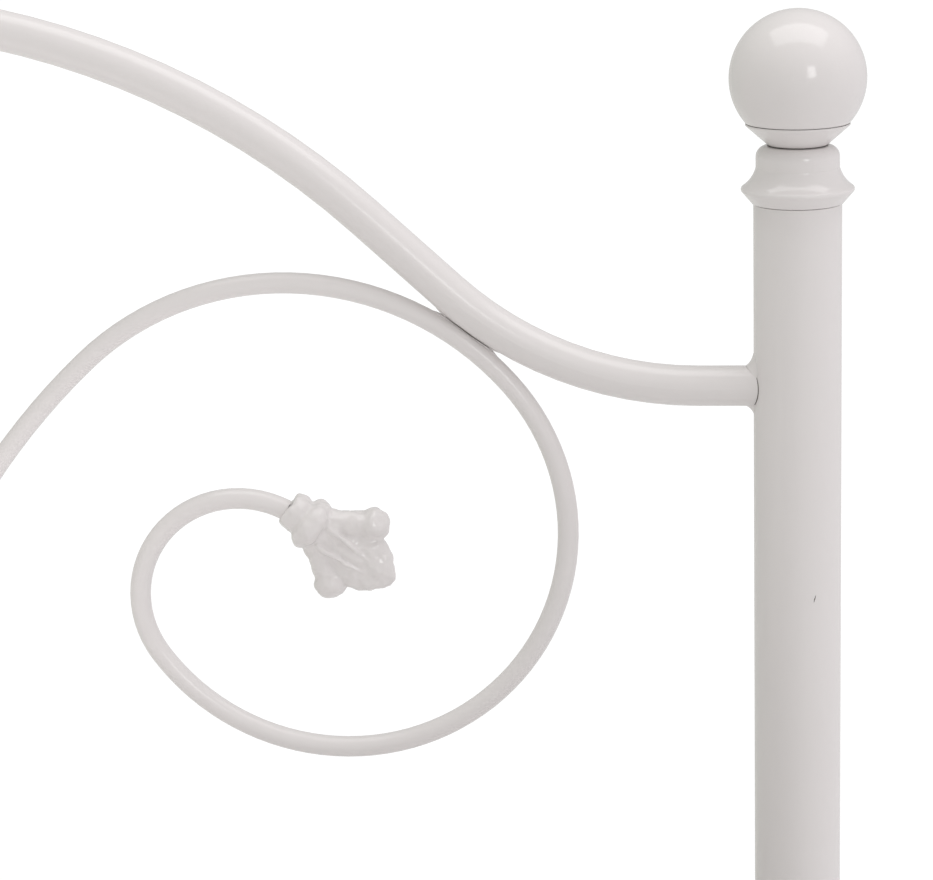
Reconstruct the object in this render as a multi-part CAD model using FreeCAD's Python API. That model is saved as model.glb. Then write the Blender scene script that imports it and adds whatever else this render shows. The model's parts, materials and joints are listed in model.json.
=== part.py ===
import FreeCAD, Part
import os
from math import cos, degrees, pi, radians, sin, sqrt

# A metal daybed, in millimetres. X runs along the length, Y from the open front to the back, Z up from the
# floor. The origin is on the floor, in the middle of the bed. The two arms and the back are panels of bent
# tube and rod: each has a humped top rail, heart-shaped pairs of scrolls, and a band of spindles below.

# Overall
LENGTH = 1950.0            # between the arms' post axes
WIDTH = 988.2              # between the front and rear post axes
ARM_HEIGHT = 950.0         # floor to the top of a ball finial

# Tube and rod
POST_R = 22.225
POST_WALL = 1.5
RAIL_R = 10.3
RAIL_WALL = 1.2
ROD_R = 5.4
WELD_GAP = 0.05            # between two pieces that a weld joins
FIT = 0.1                  # radial clearance of a plug, bolt or band

# Finial, from the ball down to the top of the post
BALL_R = 34.3
BALL_WALL = 3.0
BALL_SEAM_R = 26.2         # radius of the ball where it is cut flat
SEAM = 0.5                 # height of the shadow gap between finial pieces
SEAM_STEP = 2.0            # how far the core stands back inside a shadow gap
SEAT_H = 10.7
SEAT_LIP = 0.8
SEAT_NECK_R = 15.0
COLLAR_NECK_R = 21.0
COLLAR_ROUND = 5.6         # round at the collar's shoulder
COLLAR_NECK_H = 11.0       # shoulder and straight neck
COLLAR_COVE_H = 9.6
COLLAR_RIM_R = 28.4
COLLAR_RIM_H = 2.2
COLLAR_TAPER_H = 6.0
COLLAR_FOOT_R = 23.0
SPIGOT_H = 14.0
STUD_R = 4.0
STUD_IN_BALL = 22.0
PLUG_H = 12.0
PLUG_DEPTH = 22.0          # post top to the plug's top

# Feet of the posts
FOOT_H = 6.0
FOOT_STUB_H = 18.0
FOOT_EDGE = 1.5

# Humped top rails: a straight start, a hollow bend, a straight, and a crest bend
RAIL_DROP = 93.5           # post top to the rail's axis at the post
RAIL_START = 50.6          # post axis to the first bend
HOLLOW_R = 186.0
SLOPE = 42.7               # degrees
SLOPE_RUN = 57.0           # length of the straight between the bends
SHOULDER_FLAT = 12.0       # level stretch between the back's shoulder and its middle hump

# Scroll rods, as (radius, turn in degrees) from the foot of the heart to the leaf
SCROLL = ((383.0, 47.2), (153.0, 92.0), (118.4, 186.0), (53.6, 153.0))
SCROLL_POST_GAP = 90.0     # free space between a post and the widest part of a scroll
TAIL = 12.0                # straight foot of the lowest scroll, above the middle rail's axis
CENTRE_HEART_REACH = 205.0
CLASP_H = 12.0
CLASP_WALL = 2.5
CLASP_STEP = 2.0           # clasp above the middle rail, or below the parting of the middle heart

# Leaf casting at the end of a scroll, along its own axis
LEAF_TILT = 8.6            # degrees that the leaf turns on from the rod's end
LEAF_RINGS = ((0.0, 8.0), (2.5, 9.5), (6.5, 9.5), (8.5, 10.4), (12.0, 13.6), (16.5, 13.6), (20.0, 10.8))
LEAF_BUD = ((28.0, 10.6), (40.0, 11.4), (50.0, 12.2), (55.0, 10.8), (64.5, 1.8))
LEAF_THICK = 15.0          # of the bud, front to back
LEAF_CURL_AT = 38.6
LEAF_CURL_OUT = 19.9
LEAF_CURL_R = 8.0
LEAF_STEM_R = 6.2
LEAF_STEM_AT = 16.0
CENTRE_LEAF_SCALE = 0.72

# Spindle band
SPINDLE_PITCH = 98.0

# Deck: angle-iron side rails, slats and a middle beam on two legs
DECK_Z = 300.0             # underside of the side rails
ANGLE_WEB = 50.0
ANGLE_FLANGE = 30.0
ANGLE_T = 3.0
ANGLE_SETBACK = 13.0       # post axis to the outer face of the side rail's web
ANGLE_END_GAP = 2.0
SLAT_W = 38.0
SLAT_H = 12.0
SLAT_WALL = 1.2
SLAT_PITCH = 140.0
SLAT_END_GAP = 8.0         # slat's cap to the web
SLAT_ROUND = 3.0
CAP_T = 2.0
CAP_STUB = 14.0
SCREW_R = 2.5
SCREW_HEAD_R = 5.0
SCREW_HEAD_H = 2.4
SCREW_TIP_GAP = 0.8
SCREW_INSET = 14.0
BEAM_W = 30.0
BEAM_H = 20.0
BEAM_WALL = 1.5
LEG_AT = 400.0             # legs either side of the middle
LEG_R = 12.7
LEG_WALL = 1.5
LEG_FLANGE_R = 14.5
LEG_FLANGE_T = 3.0
LEG_PLUG_H = 16.0
GLIDE_R = 17.0
GLIDE_H = 9.0
GLIDE_STEM_R = 4.0
GLIDE_STEM_H = 34.0
GLIDE_GAP = 14.0           # leg tube to the glide's foot, with the glide screwed right in
GLIDE_PLAY = 0.3
STEM_PLAY = 0.1

# Brackets and fasteners
BRACKET_T = 4.0
BRACKET_L = 78.0
BRACKET_H = 44.0
BOLT_R = 4.0
BOLT_HEAD_R = 8.0
BOLT_HEAD_H = 4.4
BOLT_SOCKET_R = 2.6
NUT_H = 6.5
NUT_R = 7.5
BRACKET_BOLTS = (38.0, 66.0)   # from the post axis
WASHER_T = 2.0
WASHER_R = 10.0
INSERT_L = 24.0

# Weld fillet above and below an arm's rail, where it meets its post
WELD_RUN = 3.4             # along the rail, from the post's edge
WELD_RISE = 4.9
WELD_SHIFT = 1.8           # the bead is heavier above the rail than below
WELD_SIDE = 0.6            # what is left of the bead beside the rail

HALF_L = LENGTH / 2
HALF_W = WIDTH / 2
BALL_SEAM_Z = sqrt(BALL_R**2 - BALL_SEAM_R**2)   # ball centre to its flat
COLLAR_H = COLLAR_NECK_H + COLLAR_COVE_H + COLLAR_RIM_H + COLLAR_TAPER_H
POST_TOP = ARM_HEIGHT - BALL_R - BALL_SEAM_Z - SEAT_H - COLLAR_H - 3 * SEAM
TOP_RAIL_Z = POST_TOP - RAIL_DROP
BEAM_TOP = DECK_Z + ANGLE_T
LOWER_RAIL_Z = BEAM_TOP - BEAM_H / 2

V = FreeCAD.Vector
UP = V(0, 0, 1)
FAR = 10000.0
ORIGIN = V(0, 0, 0)


# ---------------------------------------------------------------- helpers

def cylinder(radius, height, base, axis=UP):
    return Part.makeCylinder(radius, height, base, axis)


def box(x, y, z):
    """A block from three (low, high) pairs."""
    low = V(x[0], y[0], z[0])
    return Part.makeBox(x[1] - x[0], y[1] - y[0], z[1] - z[0], low)


def fused(shapes):
    whole = shapes[0]
    for shape in shapes[1:]:
        whole = whole.fuse(shape)
    return whole.removeSplitter()


def turned(profile):
    """A solid of revolution about Z from (radius, z) corners."""
    points = [V(r, 0, z) for r, z in profile]
    face = Part.Face(Part.makePolygon(points + points[:1]))
    return face.revolve(ORIGIN, UP, 360)


def moved(shape, to, turn=0.0, axis=UP):
    """A copy, turned about an axis through the origin and then moved."""
    copy = shape.copy()
    copy.Placement = FreeCAD.Placement(to, FreeCAD.Rotation(axis, turn)).multiply(copy.Placement)
    return copy


class Path:
    """Tangent lines and arcs in a panel's plane, where u runs along the panel and z up."""

    def __init__(self, u, z, heading):
        self.at = V(u, 0, z)
        self.heading = heading
        self.pieces = []

    def along(self):
        return V(cos(self.heading), 0, sin(self.heading))

    def line(self, length):
        end = self.at + self.along() * length
        self.pieces.append((Part.makeLine(self.at, end), self.along(), None, length))
        self.at = end
        return self

    def arc(self, radius, turn):
        """Positive turns go to the left."""
        side = 1 if turn > 0 else -1
        centre = self.at + V(-sin(self.heading), 0, cos(self.heading)) * (side * radius)
        middle, end = (centre + self.spoke(side, radius, turn * part) for part in (0.5, 1))
        edge = Part.Arc(self.at, middle, end).toShape()
        self.pieces.append((edge, self.along(), centre, turn))
        self.heading += radians(turn)
        self.at = end
        return self

    def spoke(self, side, radius, turn):
        angle = self.heading + radians(turn)
        return V(sin(angle), 0, -cos(angle)) * (side * radius)

    def wire(self):
        return Part.Wire([piece[0] for piece in self.pieces])

    def tube(self, radius, wall=None):
        """The solid that follows the path, hollow if it has a wall."""
        solids = []
        for edge, along, centre, amount in self.pieces:
            start = edge.Vertexes[0].Point if edge.Orientation == "Forward" else edge.Vertexes[-1].Point
            face = Part.Face(Part.Wire(Part.makeCircle(radius, start, along)))
            if wall:
                inner = Part.Face(Part.Wire(Part.makeCircle(radius - wall, start, along)))
                face = face.cut(inner).Faces[0]
            if centre:
                solids.append(face.revolve(centre, V(0, -1, 0), amount))
            else:
                solids.append(face.extrude(along * amount))
        return fused(solids)


def widest_point(wire):
    """Where a wire reaches furthest along u."""
    far = Part.makeLine(V(FAR, 0, -FAR), V(FAR, 0, FAR))
    return wire.distToShape(far)[1][0][0]


def lift_to_touch(wire, above, gap):
    """How far to raise a wire until it lies this distance below the one above it."""
    high = above.BoundBox.ZMax - wire.BoundBox.ZMax
    low = high - ARM_HEIGHT / 2
    while high - low > 0.001:
        middle = (low + high) / 2
        if moved(wire, V(0, 0, middle)).distToShape(above)[0] > gap:
            low = middle
        else:
            high = middle
    return low


# ---------------------------------------------------------------- panel outlines

def slope_run():
    """Horizontal run of the hollow bend and the straight after it."""
    return HOLLOW_R * sin(radians(SLOPE)) + SLOPE_RUN * cos(radians(SLOPE))


def crest_radius(run):
    """Radius of the crest bend that ends a rise this long."""
    return (run - slope_run()) / sin(radians(SLOPE))


def rise(path, run):
    return path.arc(HOLLOW_R, SLOPE).line(SLOPE_RUN).arc(crest_radius(run), -SLOPE)


def fall(path, run):
    return path.arc(crest_radius(run), -SLOPE).line(SLOPE_RUN).arc(HOLLOW_R, SLOPE)


def arm_top_path():
    """One hump from post axis to post axis; u is 0 in the middle of the arm."""
    path = Path(-HALF_W, TOP_RAIL_Z, 0.0).line(RAIL_START)
    run = HALF_W - RAIL_START
    return fall(rise(path, run), run).line(RAIL_START)


def back_top_path():
    """A shoulder over each heart and a higher hump in the middle."""
    quarter = HALF_L / 2
    outer = quarter - RAIL_START - SHOULDER_FLAT / 2
    inner = quarter - SHOULDER_FLAT / 2
    path = Path(-HALF_L, TOP_RAIL_Z, 0.0).line(RAIL_START)
    path = rise(path, outer).line(SHOULDER_FLAT)
    path = fall(rise(path, inner), inner).line(SHOULDER_FLAT)
    return fall(path, outer).line(RAIL_START)


def scroll_path(foot, scale, tail=0.0):
    """The right-hand scroll of a heart. Its arcs start at the foot, above a straight tail if it has one."""
    path = Path(ROD_R + WELD_GAP / 2, foot - tail, pi / 2)
    if tail:
        path.line(tail)
    for radius, turn in SCROLL:
        path.arc(radius * scale, -turn)
    return path


def scroll_scale(reach):
    """Scale at which a scroll's axis reaches this far from the middle of its heart."""
    return (reach - ROD_R) / (widest_point(scroll_path(0.0, 1.0).wire()).x - ROD_R)


def foot_height(scale, top, centre=0.0):
    """Height at which a heart's scrolls start to part, so that their shoulders touch the rail above."""
    trial = moved(scroll_path(0.0, scale).wire(), V(centre, 0, 0))
    return lift_to_touch(trial, top.wire(), RAIL_R + ROD_R + WELD_GAP)


ARM_TOP = arm_top_path()
BACK_TOP = back_top_path()
HEART_AT = HALF_L / 2      # middle of the bed to the middle of an outer heart of the back
ARM_SCALE = scroll_scale(HALF_W - POST_R - SCROLL_POST_GAP - ROD_R)
BACK_SCALE = scroll_scale(HALF_L - HEART_AT - POST_R - SCROLL_POST_GAP - ROD_R)
CENTRE_SCALE = scroll_scale(CENTRE_HEART_REACH)
ARM_FOOT = foot_height(ARM_SCALE, ARM_TOP)
BACK_FOOT = foot_height(BACK_SCALE, BACK_TOP, HEART_AT)
CENTRE_FOOT = foot_height(CENTRE_SCALE, BACK_TOP)
MID_RAIL_Z = min(ARM_FOOT, BACK_FOOT) - RAIL_R - TAIL


# ---------------------------------------------------------------- pieces of a panel

def scroll(path):
    """The rod along a scroll's path, with its tail coped onto the middle rail."""
    rail = cylinder(RAIL_R + WELD_GAP, 4 * ROD_R, V(-ROD_R, 0, MID_RAIL_Z), V(1, 0, 0))
    return path.tube(ROD_R).cut(rail)


def leaf(path, size=1.0):
    """A cast leaf on the end of a scroll: two rings, a pointed bud and two curls."""
    neck_z, neck_r = LEAF_RINGS[-1]
    rings = [(0.0, 0.0)] + [(r, z) for z, r in LEAF_RINGS] + [(0.0, neck_z)]
    bud = turned([(0.0, neck_z), (neck_r, neck_z)] + [(r, z) for z, r in LEAF_BUD] + [(0.0, LEAF_BUD[-1][0])])
    slab = box((-FAR, FAR), (-LEAF_THICK / 2, LEAF_THICK / 2), (0, FAR))
    parts = [turned(rings), bud.common(slab)]
    for side in (-1, 1):
        curl = V(side * LEAF_CURL_OUT, 0, LEAF_CURL_AT)
        stem = curl - V(0, 0, LEAF_STEM_AT)
        parts.append(cylinder(LEAF_STEM_R, stem.Length, V(0, 0, LEAF_STEM_AT), stem))
        parts.append(Part.makeSphere(LEAF_CURL_R, curl))
    solid = fused(parts)
    solid.scale(size, ORIGIN)
    tilt = 90 - degrees(path.heading) + LEAF_TILT
    solid = moved(solid, path.at, tilt, V(0, 1, 0))
    return solid.cut(cylinder(ROD_R + WELD_GAP, 6 * ROD_R, path.at, path.along() * -1))


def mirrored(shape):
    return shape.mirror(ORIGIN, V(1, 0, 0))


def clasp():
    """A band round the two tails of a heart."""
    low = MID_RAIL_Z + RAIL_R + CLASP_STEP
    inner = ROD_R + FIT + WELD_GAP
    bore = fused([cylinder(inner, CLASP_H, V(s * ROD_R, 0, low)) for s in (-1, 1)]
                 + [box((-ROD_R, ROD_R), (-inner, inner), (low, low + CLASP_H))])
    outer = inner + CLASP_WALL
    band = fused([cylinder(outer, CLASP_H, V(s * ROD_R, 0, low)) for s in (-1, 1)]
                 + [box((-ROD_R, ROD_R), (-outer, outer), (low, low + CLASP_H))])
    return band.cut(bore)


def straight_rail(half_span, z):
    """A level tube between two posts, coped to both."""
    outer = cylinder(RAIL_R, 2 * half_span, V(-half_span, 0, z), V(1, 0, 0))
    tube = outer.cut(cylinder(RAIL_R - RAIL_WALL, 2 * half_span, V(-half_span, 0, z), V(1, 0, 0)))
    return coped(tube, half_span)


def coped(tube, half_span):
    """Cuts the ends of a rail to sit against the posts."""
    for side in (-1, 1):
        tube = tube.cut(cylinder(POST_R + WELD_GAP, POST_TOP, V(side * half_span, 0, 0)))
    return max(tube.Solids, key=lambda s: s.Volume)


def spindles(half_span):
    """Rods between the middle and lower rails, coped to both."""
    count = max(3, round(2 * half_span / SPINDLE_PITCH)) - 1
    pitch = 2 * half_span / (count + 1)
    rails = [cylinder(RAIL_R + WELD_GAP, 2 * half_span, V(-half_span, 0, z), V(1, 0, 0))
             for z in (LOWER_RAIL_Z, MID_RAIL_Z)]
    rods = []
    for k in range(count):
        u = -half_span + pitch * (k + 1)
        rod = cylinder(ROD_R, MID_RAIL_Z - LOWER_RAIL_Z, V(u, 0, LOWER_RAIL_Z))
        rods.append(rod.cut(rails[0]).cut(rails[1]))
    return rods


def weld_bead(half_span, z, side):
    """The fillet above and below a rail's end, just off the post. Beside the rail it runs out."""
    edge = half_span - POST_R
    middle = V(edge, 0, z + WELD_SHIFT)
    toe = Part.Wire(Part.makeCircle(RAIL_R + 2 * WELD_GAP, V(edge - WELD_RUN, 0, z), V(1, 0, 0)))
    top = middle + UP * (RAIL_R + WELD_RISE)
    beside = middle + V(0, RAIL_R + WELD_SIDE, 0)
    root = Part.Wire(Part.Ellipse(top, beside, middle).toShape())
    flare = Part.makeLoft([toe, root], True, True)
    run_in = Part.Face(root).extrude(V(POST_R / 2, 0, 0))
    bead = flare.fuse(run_in).cut(cylinder(RAIL_R + WELD_GAP, POST_R * 2, V(edge - POST_R, 0, z), V(1, 0, 0)))
    post = cylinder(POST_R + WELD_GAP, 8 * RAIL_R, V(half_span, 0, z - 4 * RAIL_R))
    bead = max(bead.cut(post).Solids, key=lambda s: s.Volume)
    return bead if side > 0 else mirrored(bead)


def to_arm(shape, side):
    """From a panel's own plane to the arm at that end of the bed: u becomes Y."""
    return moved(shape, V(side * HALF_L, 0, 0), 90)


def to_back(shape, along=0.0):
    return moved(shape, V(along, HALF_W, 0))


# ---------------------------------------------------------------- posts and finials

def corner_posts():
    """Name, X and Y of each post."""
    return [(end + "_" + place + "_post", x * HALF_L, y * HALF_W)
            for end, x in (("left", -1), ("right", 1)) for place, y in (("front", -1), ("rear", 1))]


def post(x, y):
    tube = cylinder(POST_R, POST_TOP - FOOT_H, V(x, y, FOOT_H))
    tube = tube.cut(cylinder(POST_R - POST_WALL, POST_TOP - FOOT_H, V(x, y, FOOT_H)))
    if y > 0:
        for z in (TOP_RAIL_Z, MID_RAIL_Z, LOWER_RAIL_Z):
            tube = tube.cut(cylinder(BOLT_R + FIT, 4 * POST_R, V(x - 2 * POST_R, y, z), V(1, 0, 0)))
    return tube


def foot_glide():
    """A moulded foot pushed into the bottom of a post."""
    rim = turned([(0, 0), (POST_R - FOOT_EDGE, 0), (POST_R, FOOT_EDGE), (POST_R, FOOT_H), (0, FOOT_H)])
    stub = cylinder(POST_R - POST_WALL - FIT, FOOT_STUB_H, V(0, 0, FOOT_H))
    return rim.fuse(stub).removeSplitter()


def ball():
    """A hollow ball, cut flat below, with a boss for the stud. Its flat is at z = 0."""
    centre = V(0, 0, BALL_SEAM_Z)
    below = box((-BALL_R, BALL_R), (-BALL_R, BALL_R), (-BALL_R, 0))
    lower = box((-BALL_R, BALL_R), (-BALL_R, BALL_R), (-BALL_R, BALL_WALL))
    shell = Part.makeSphere(BALL_R, centre).cut(below)
    hollow = Part.makeSphere(BALL_R - BALL_WALL, centre).cut(lower)
    boss = cylinder(2.4 * STUD_R, STUD_IN_BALL + BALL_WALL, ORIGIN)
    bore = cylinder(STUD_R + FIT, STUD_IN_BALL, ORIGIN)
    return shell.cut(hollow).fuse(boss).cut(bore)


def seat():
    """The tapered dish under the ball. Its lower face is at z = 0."""
    top = SEAT_H
    profile = [(0, 0), (SEAT_NECK_R, 0), (BALL_SEAM_R, top - SEAT_LIP), (BALL_SEAM_R, top),
               (BALL_SEAM_R - SEAM_STEP, top), (BALL_SEAM_R - SEAM_STEP, top + SEAM), (0, top + SEAM)]
    return turned(profile).cut(cylinder(STUD_R + FIT, 2 * SEAT_H, ORIGIN))


def collar():
    """The turned cap on the post, with a spigot inside the tube. Its foot is at z = SEAM above the post."""
    foot = SEAM
    rim_low = foot + COLLAR_TAPER_H
    rim_top = rim_low + COLLAR_RIM_H
    neck = rim_top + COLLAR_COVE_H
    top = neck + COLLAR_NECK_H
    tip = V(COLLAR_RIM_R - 0.6, 0, rim_top)
    low_neck = V(COLLAR_NECK_R, 0, neck)
    flare = COLLAR_RIM_R - COLLAR_NECK_R
    middle = V(COLLAR_NECK_R + 0.27 * flare, 0, rim_top + 0.52 * COLLAR_COVE_H)
    shoulder = V(COLLAR_NECK_R, 0, top - COLLAR_ROUND)
    crown = V(COLLAR_NECK_R - COLLAR_ROUND, 0, top)
    bend = COLLAR_ROUND * (1 - sqrt(0.5))
    edges = [
        Part.LineSegment(V(0, 0, foot), V(COLLAR_FOOT_R, 0, foot)),
        Part.LineSegment(V(COLLAR_FOOT_R, 0, foot), V(COLLAR_RIM_R - 0.3, 0, rim_low)),
        Part.Arc(V(COLLAR_RIM_R - 0.3, 0, rim_low), V(COLLAR_RIM_R, 0, rim_low + COLLAR_RIM_H / 2), tip),
        Part.Arc(tip, middle, low_neck),
        Part.LineSegment(low_neck, shoulder),
        Part.Arc(shoulder, V(COLLAR_NECK_R - bend, 0, top - bend), crown),
        Part.LineSegment(crown, V(0, 0, top)),
        Part.LineSegment(V(0, 0, top), V(0, 0, foot)),
    ]
    body = Part.Face(Part.Wire([e.toShape() for e in edges])).revolve(ORIGIN, UP, 360)
    spigot = cylinder(POST_R - POST_WALL - FIT, SPIGOT_H + foot, V(0, 0, -SPIGOT_H))
    core = cylinder(SEAT_NECK_R - SEAM_STEP, SEAM, V(0, 0, top))
    bore = cylinder(STUD_R + FIT, 3 * COLLAR_H, V(0, 0, -COLLAR_H))
    return fused([body, spigot, core]).cut(bore)


def top_plug():
    """The steel plug inside a post that the finial's stud screws into."""
    low = -PLUG_DEPTH - PLUG_H
    body = cylinder(POST_R - POST_WALL - FIT, PLUG_H, V(0, 0, low))
    return body.cut(cylinder(STUD_R + FIT, PLUG_H, V(0, 0, low)))


def stud():
    top = SEAM + COLLAR_H + SEAM + SEAT_H + SEAM + STUD_IN_BALL - 1.0
    low = -PLUG_DEPTH - PLUG_H
    return cylinder(STUD_R, top - low, V(0, 0, low))


# ---------------------------------------------------------------- deck

def side_rail(side):
    """Angle iron between two posts: the web stands up and the flange points inward."""
    face = HALF_W - ANGLE_SETBACK
    end = HALF_L - POST_R - ANGLE_END_GAP
    web = box((-end, end), (face - ANGLE_T, face), (DECK_Z, DECK_Z + ANGLE_WEB))
    flange = box((-end, end), (face - ANGLE_FLANGE, face), (DECK_Z, DECK_Z + ANGLE_T))
    rail = fused([web, flange])
    for x in (s * (HALF_L - b) for s in (-1, 1) for b in BRACKET_BOLTS):
        rail = rail.cut(cylinder(BOLT_R + FIT, 4 * BRACKET_T, V(x, face - 2 * BRACKET_T, bolt_z()), V(0, 1, 0)))
    for x in slat_places():
        rail = rail.cut(cylinder(SCREW_R + FIT, 2 * ANGLE_T, V(x, screw_y(), DECK_Z - ANGLE_T / 2)))
    return rail if side > 0 else rail.mirror(ORIGIN, V(0, 1, 0))


def bolt_z():
    return DECK_Z + ANGLE_T + ANGLE_WEB / 2


def slat_places():
    clear = HALF_L - POST_R - BRACKET_L - SLAT_W / 2
    each_way = int(clear // SLAT_PITCH)
    return [SLAT_PITCH * k for k in range(-each_way, each_way + 1)]


def slat_end():
    """Half the length of a slat with its caps."""
    return HALF_W - ANGLE_SETBACK - ANGLE_T - SLAT_END_GAP


def screw_y():
    return slat_end() - SCREW_INSET + CAP_T


def rounded_bar(width, height, round_r, span, low):
    """A bar along Y with rounded long edges."""
    bar = box((-width / 2, width / 2), (-span, span), (low, low + height))
    long_edges = [e for e in bar.Edges if abs(e.Length - 2 * span) < 1e-6]
    return bar.makeFillet(round_r, long_edges)


def slat():
    end = slat_end() - CAP_T
    outer = rounded_bar(SLAT_W, SLAT_H, SLAT_ROUND, end, BEAM_TOP)
    inner = rounded_bar(SLAT_W - 2 * SLAT_WALL, SLAT_H - 2 * SLAT_WALL, SLAT_ROUND - SLAT_WALL, end,
                        BEAM_TOP + SLAT_WALL)
    tube = outer.cut(inner)
    for side in (-1, 1):
        tube = tube.cut(cylinder(SCREW_R + FIT, SLAT_H, V(0, side * screw_y(), BEAM_TOP - SLAT_H / 2)))
    return tube


def slat_cap():
    """The plastic plug in a slat's +Y end."""
    end = slat_end()
    plate = rounded_bar(SLAT_W, SLAT_H, SLAT_ROUND, end, BEAM_TOP)
    plate = plate.common(box((-SLAT_W, SLAT_W), (end - CAP_T, end), (BEAM_TOP, BEAM_TOP + SLAT_H)))
    inset = SLAT_WALL + FIT
    stub = box((-SLAT_W / 2 + inset + SLAT_ROUND, SLAT_W / 2 - inset - SLAT_ROUND),
               (end - CAP_T - CAP_STUB, end - CAP_T), (BEAM_TOP + inset, BEAM_TOP + SLAT_H - inset))
    bore = cylinder(SCREW_R + FIT, 2 * SLAT_H, V(0, screw_y(), BEAM_TOP - SLAT_H / 2))
    return plate.fuse(stub).removeSplitter().cut(bore)


def slat_screw():
    """Holds a slat's +Y end to the side rail's flange, from below."""
    length = ANGLE_T + SLAT_H - SLAT_WALL - SCREW_TIP_GAP
    shank = cylinder(SCREW_R, length, V(0, screw_y(), DECK_Z))
    head = domed_head(SCREW_HEAD_R, SCREW_HEAD_H, V(0, screw_y(), DECK_Z), UP * -1)
    return shank.fuse(head)


def domed_head(radius, height, at, axis):
    """A round head: part of a ball, flat underneath."""
    ball_r = (radius**2 + height**2) / (2 * height)
    head = Part.makeSphere(ball_r, at + axis * (height - ball_r))
    return head.common(cylinder(radius, height, at, axis))


def centre_beam():
    end = HALF_L - RAIL_R - WELD_GAP
    low = BEAM_TOP - BEAM_H
    tube = box((-end, end), (-BEAM_W / 2, BEAM_W / 2), (low, BEAM_TOP))
    half = BEAM_W / 2 - BEAM_WALL
    tube = tube.cut(box((-end, end), (-half, half), (low + BEAM_WALL, BEAM_TOP - BEAM_WALL)))
    stops = []
    for side in (-1, 1):
        near = side * (end - INSERT_L / 2)
        stops.append(box((near - INSERT_L / 2, near + INSERT_L / 2), (-half, half),
                         (low + BEAM_WALL, BEAM_TOP - BEAM_WALL)))
    tube = fused([tube] + stops)
    for side in (-1, 1):
        start = V(side * (HALF_L + RAIL_R), 0, LOWER_RAIL_Z)
        tube = tube.cut(cylinder(BOLT_R + FIT, 2 * RAIL_R + 1.5 * INSERT_L, start, V(-side, 0, 0)))
    return tube


def support_leg(x):
    """A leg under the beam, with a flange at its top."""
    top = BEAM_TOP - BEAM_H
    low = GLIDE_H + GLIDE_GAP
    flange = cylinder(LEG_FLANGE_R, LEG_FLANGE_T, V(x, 0, top - LEG_FLANGE_T))
    tube = cylinder(LEG_R, top - low, V(x, 0, low))
    hollow = cylinder(LEG_R - LEG_WALL, top - LEG_FLANGE_T - low, V(x, 0, low))
    return fused([tube, flange]).cut(hollow)


def leg_plug(x):
    """The threaded plug in the foot of a leg."""
    low = GLIDE_H + GLIDE_GAP
    body = cylinder(LEG_R - LEG_WALL - FIT, LEG_PLUG_H, V(x, 0, low))
    return body.cut(cylinder(GLIDE_STEM_R + STEM_PLAY, LEG_PLUG_H, V(x, 0, low)))


def leveller(x):
    """A screwed foot: a domed pad, a hexagon to turn it by and a stem inside the leg's plug."""
    pad = turned([(0, 0), (GLIDE_R - FOOT_EDGE, 0), (GLIDE_R, FOOT_EDGE), (GLIDE_R, 0.4 * GLIDE_H),
                  (0.6 * GLIDE_R, GLIDE_H), (0, GLIDE_H)])
    hexagon = [V(NUT_R * cos(k * pi / 3), NUT_R * sin(k * pi / 3), GLIDE_H) for k in range(6)]
    grip = Part.Face(Part.makePolygon(hexagon + hexagon[:1])).extrude(V(0, 0, GLIDE_GAP - GLIDE_PLAY))
    stem = cylinder(GLIDE_STEM_R, GLIDE_STEM_H, V(0, 0, GLIDE_H))
    return moved(fused([pad, grip, stem]), V(x, 0, 0))


# ---------------------------------------------------------------- brackets and fasteners

def bracket(x_side, y_side):
    """The plate on a post's inner side that a side rail bolts to."""
    face = HALF_W - ANGLE_SETBACK - ANGLE_T - WELD_GAP
    mid = bolt_z()
    plate = box((HALF_L - BRACKET_L, HALF_L), (face - BRACKET_T, face),
                (mid - BRACKET_H / 2, mid + BRACKET_H / 2))
    plate = plate.cut(cylinder(POST_R + WELD_GAP, 2 * BRACKET_H, V(HALF_L, HALF_W, mid - BRACKET_H)))
    for b in BRACKET_BOLTS:
        plate = plate.cut(cylinder(BOLT_R + FIT, 4 * BRACKET_T, V(HALF_L - b, face - 2 * BRACKET_T, mid),
                                   V(0, 1, 0)))
    plate = max(plate.Solids, key=lambda s: s.Volume)
    return at_corner(plate, x_side, y_side)


def at_corner(shape, x_side, y_side):
    """Mirrors a piece made for the right rear corner to another corner."""
    if x_side < 0:
        shape = shape.mirror(ORIGIN, V(1, 0, 0))
    if y_side < 0:
        shape = shape.mirror(ORIGIN, V(0, 1, 0))
    return shape


def bolt(length, at, axis):
    """A socket bolt: at is under its head, axis points from the head along the shank."""
    head = domed_head(BOLT_HEAD_R, BOLT_HEAD_H, at, axis * -1)
    socket = cylinder(BOLT_SOCKET_R, BOLT_HEAD_H, at - axis * (BOLT_HEAD_H + BOLT_SOCKET_R), axis)
    return cylinder(BOLT_R, length, at, axis).fuse(head).cut(socket)


def nut(at, axis):
    """A hexagon nut whose seat is at a point, standing up along axis."""
    corners = [V(NUT_R * cos(k * pi / 3), NUT_R * sin(k * pi / 3), 0) for k in range(6)]
    body = Part.Face(Part.makePolygon(corners + corners[:1])).extrude(V(0, 0, NUT_H))
    body = body.cut(cylinder(BOLT_R + FIT / 2, NUT_H, ORIGIN))
    body.Placement = FreeCAD.Placement(at, FreeCAD.Rotation(UP, axis))
    return body


def deck_bolt(b):
    """Through a side rail's web and its bracket, for the right rear corner."""
    face = HALF_W - ANGLE_SETBACK
    length = ANGLE_T + BRACKET_T + NUT_H + 4 * WELD_GAP
    return bolt(length, V(HALF_L - b, face, bolt_z()), V(0, -1, 0))


def deck_nut(b):
    face = HALF_W - ANGLE_SETBACK - ANGLE_T - BRACKET_T - 2 * WELD_GAP
    return nut(V(HALF_L - b, face, bolt_z()), V(0, -1, 0))


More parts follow.
